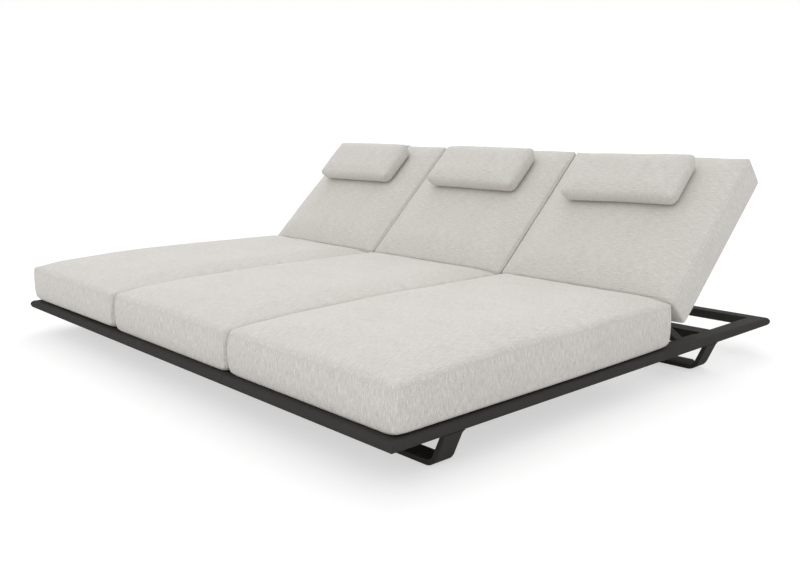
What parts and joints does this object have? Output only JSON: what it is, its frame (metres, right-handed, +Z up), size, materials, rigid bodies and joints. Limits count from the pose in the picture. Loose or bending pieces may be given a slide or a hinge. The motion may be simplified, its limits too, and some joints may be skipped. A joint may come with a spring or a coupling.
{
  "type": "sun lounger",
  "caption": "Wide modular sun lounger with separately reclining backs, thick grey-beige cushions, headrest pads and a dark aluminium frame on sled legs",
  "frame": {"origin": "On the floor below the middle of the frame.", "axes": "+X runs across the places, +Y from the feet to the heads, +Z up."},
  "size_m": [2.4, 2.086, 0.7961],
  "materials": {
    "frame_coating": "matte",
    "cushion_fabric": "matte",
    "steel": "satin",
    "black_plastic": "matte"
  },
  "bodies": {
    "frame": {"front_rail_left": "frame_coating", "rear_rail_left": "frame_coating", "cross_rail_left": "frame_coating", "tie_bar_left": "frame_coating", "seat_ledges_left": "frame_coating", "seat_slats_left": "frame_coating", "front_leg_left": "frame_coating", "rear_leg_left": "frame_coating", "seat_cushion_left": "cushion_fabric", "front_rail_middle": "frame_coating", "rear_rail_middle": "frame_coating", "cross_rail_middle": "frame_coating", "tie_bar_middle": "frame_coating", "seat_ledges_middle": "frame_coating", "seat_slats_middle": "frame_coating", "front_leg_middle": "frame_coating", "rear_leg_middle": "frame_coating", "seat_cushion_middle": "cushion_fabric", "front_rail_right": "frame_coating", "rear_rail_right": "frame_coating", "cross_rail_right": "frame_coating", "tie_bar_right": "frame_coating", "seat_ledges_right": "frame_coating", "seat_slats_right": "frame_coating", "front_leg_right": "frame_coating", "rear_leg_right": "frame_coating", "seat_cushion_right": "cushion_fabric", "side_rail_left": "frame_coating", "corner_brace_left": "frame_coating", "inner_rail_left": "frame_coating", "middle_rail_left": "frame_coating", "side_rail_right": "frame_coating", "corner_brace_right": "frame_coating", "inner_rail_right": "frame_coating", "middle_rail_right": "frame_coating", "leg_glides": "black_plastic", "hinge_discs": "steel", "hinge_pins": "steel", "frame_bolts": "steel"},
    "left_back": {"back_frame_left": "frame_coating", "back_pawls_left": "steel", "back_slats_left": "frame_coating"},
    "left_back_cushion": {"back_cushion_left": "cushion_fabric", "headrest_flap_left": "cushion_fabric"},
    "left_headrest": {"headrest_left": "cushion_fabric"},
    "left_rollers": {"rear_rollers_left": "black_plastic"},
    "middle_back": {"back_frame_middle": "frame_coating", "back_pawls_middle": "steel", "back_slats_middle": "frame_coating"},
    "middle_back_cushion": {"back_cushion_middle": "cushion_fabric", "headrest_flap_middle": "cushion_fabric"},
    "middle_headrest": {"headrest_middle": "cushion_fabric"},
    "middle_rollers": {"rear_rollers_middle": "black_plastic"},
    "right_back": {"back_frame_right": "frame_coating", "back_pawls_right": "steel", "back_slats_right": "frame_coating"},
    "right_back_cushion": {"back_cushion_right": "cushion_fabric", "headrest_flap_right": "cushion_fabric"},
    "right_headrest": {"headrest_right": "cushion_fabric"},
    "right_rollers": {"rear_rollers_right": "black_plastic"}
  },
  "joints": [
    {"name": "left_back_hinge", "type": "hinge", "parent": "frame", "child": "left_back", "pos_m": [-0.8, 0.335, 0.13], "axis": [1, 0, 0], "range_deg": [-44, 16]},
    {"name": "left_back_cushion_slide", "type": "slide", "parent": "left_back", "child": "left_back_cushion", "axis": [0, 0.7193, 0.6947], "range_m": [-0.1118, 0.0407]},
    {"name": "left_headrest_slide", "type": "slide", "parent": "left_back_cushion", "child": "left_headrest", "axis": [0, 0.7193, 0.6947], "range_m": [-0.1, 0.02]},
    {"name": "left_roller_turn", "type": "hinge", "parent": "frame", "child": "left_rollers", "pos_m": [-0.8, 0.6325, 0.0105], "axis": [1, 0, 0], "continuous": true},
    {"name": "middle_back_hinge", "type": "hinge", "parent": "frame", "child": "middle_back", "pos_m": [0, 0.335, 0.13], "axis": [1, 0, 0], "range_deg": [-44, 16]},
    {"name": "middle_back_cushion_slide", "type": "slide", "parent": "middle_back", "child": "middle_back_cushion", "axis": [0, 0.7193, 0.6947], "range_m": [-0.1118, 0.0407]},
    {"name": "middle_headrest_slide", "type": "slide", "parent": "middle_back_cushion", "child": "middle_headrest", "axis": [0, 0.7193, 0.6947], "range_m": [-0.1, 0.02]},
    {"name": "middle_roller_turn", "type": "hinge", "parent": "frame", "child": "middle_rollers", "pos_m": [0, 0.6325, 0.0105], "axis": [1, 0, 0], "continuous": true},
    {"name": "right_back_hinge", "type": "hinge", "parent": "frame", "child": "right_back", "pos_m": [0.8, 0.335, 0.13], "axis": [1, 0, 0], "range_deg": [-44, 16]},
    {"name": "right_back_cushion_slide", "type": "slide", "parent": "right_back", "child": "right_back_cushion", "axis": [0, 0.7193, 0.6947], "range_m": [-0.1118, 0.0407]},
    {"name": "right_headrest_slide", "type": "slide", "parent": "right_back_cushion", "child": "right_headrest", "axis": [0, 0.7193, 0.6947], "range_m": [-0.1, 0.02]},
    {"name": "right_roller_turn", "type": "hinge", "parent": "frame", "child": "right_rollers", "pos_m": [0.8, 0.6325, 0.0105], "axis": [1, 0, 0], "continuous": true}
  ],
  "couplings": [
    {"joint": "left_back_cushion_slide", "follows": "left_back_hinge", "m_per_rad": 0.1455},
    {"joint": "middle_back_cushion_slide", "follows": "middle_back_hinge", "m_per_rad": 0.1455},
    {"joint": "right_back_cushion_slide", "follows": "right_back_hinge", "m_per_rad": 0.1455}
  ]
}
